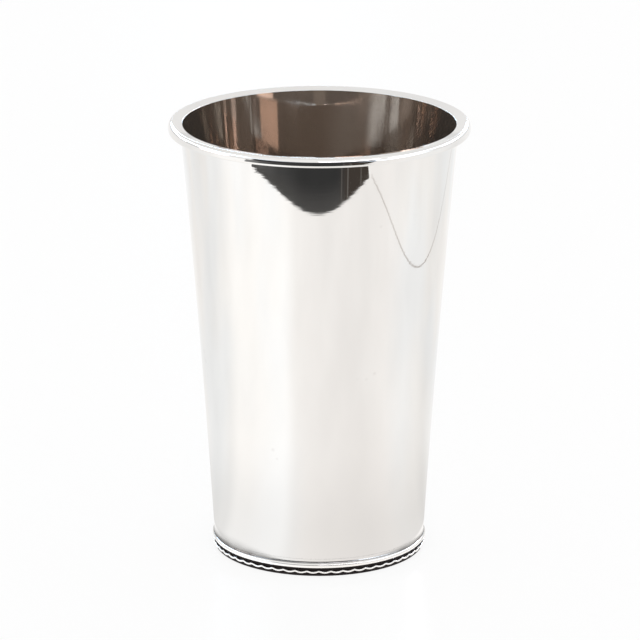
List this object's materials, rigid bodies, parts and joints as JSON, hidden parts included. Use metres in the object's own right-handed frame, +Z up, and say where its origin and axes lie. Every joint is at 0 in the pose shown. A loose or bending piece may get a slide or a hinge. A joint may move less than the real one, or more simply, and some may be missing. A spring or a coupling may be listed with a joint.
{
  "type": "julep cup",
  "caption": "Tall tapered silver julep cup with a rounded wire round its mouth, a plain moulding at the foot and a wavy ornament wire below it.",
  "frame": {"origin": "on the cup's axis, in the plane of the table that the foot stands on", "axes": "+Z up along the cup's axis, from the foot to the mouth; -Y faces the picture's camera"},
  "size_m": [0.082, 0.082, 0.1206],
  "materials": {
    "polished_silver": "polished silver with fine lathe-like polishing lines",
    "oxidised_silver": "silver with a dark oxidised patina",
    "ornament_silver": "polished silver, dark in its recesses"
  },
  "bodies": {
    "root": {"wall": "polished_silver", "rim_wire": "polished_silver", "floor_disc": "polished_silver", "foot_ring": "oxidised_silver", "shoulder_moulding": "polished_silver", "wave_wire": "ornament_silver"}
  },
  "joints": []
}
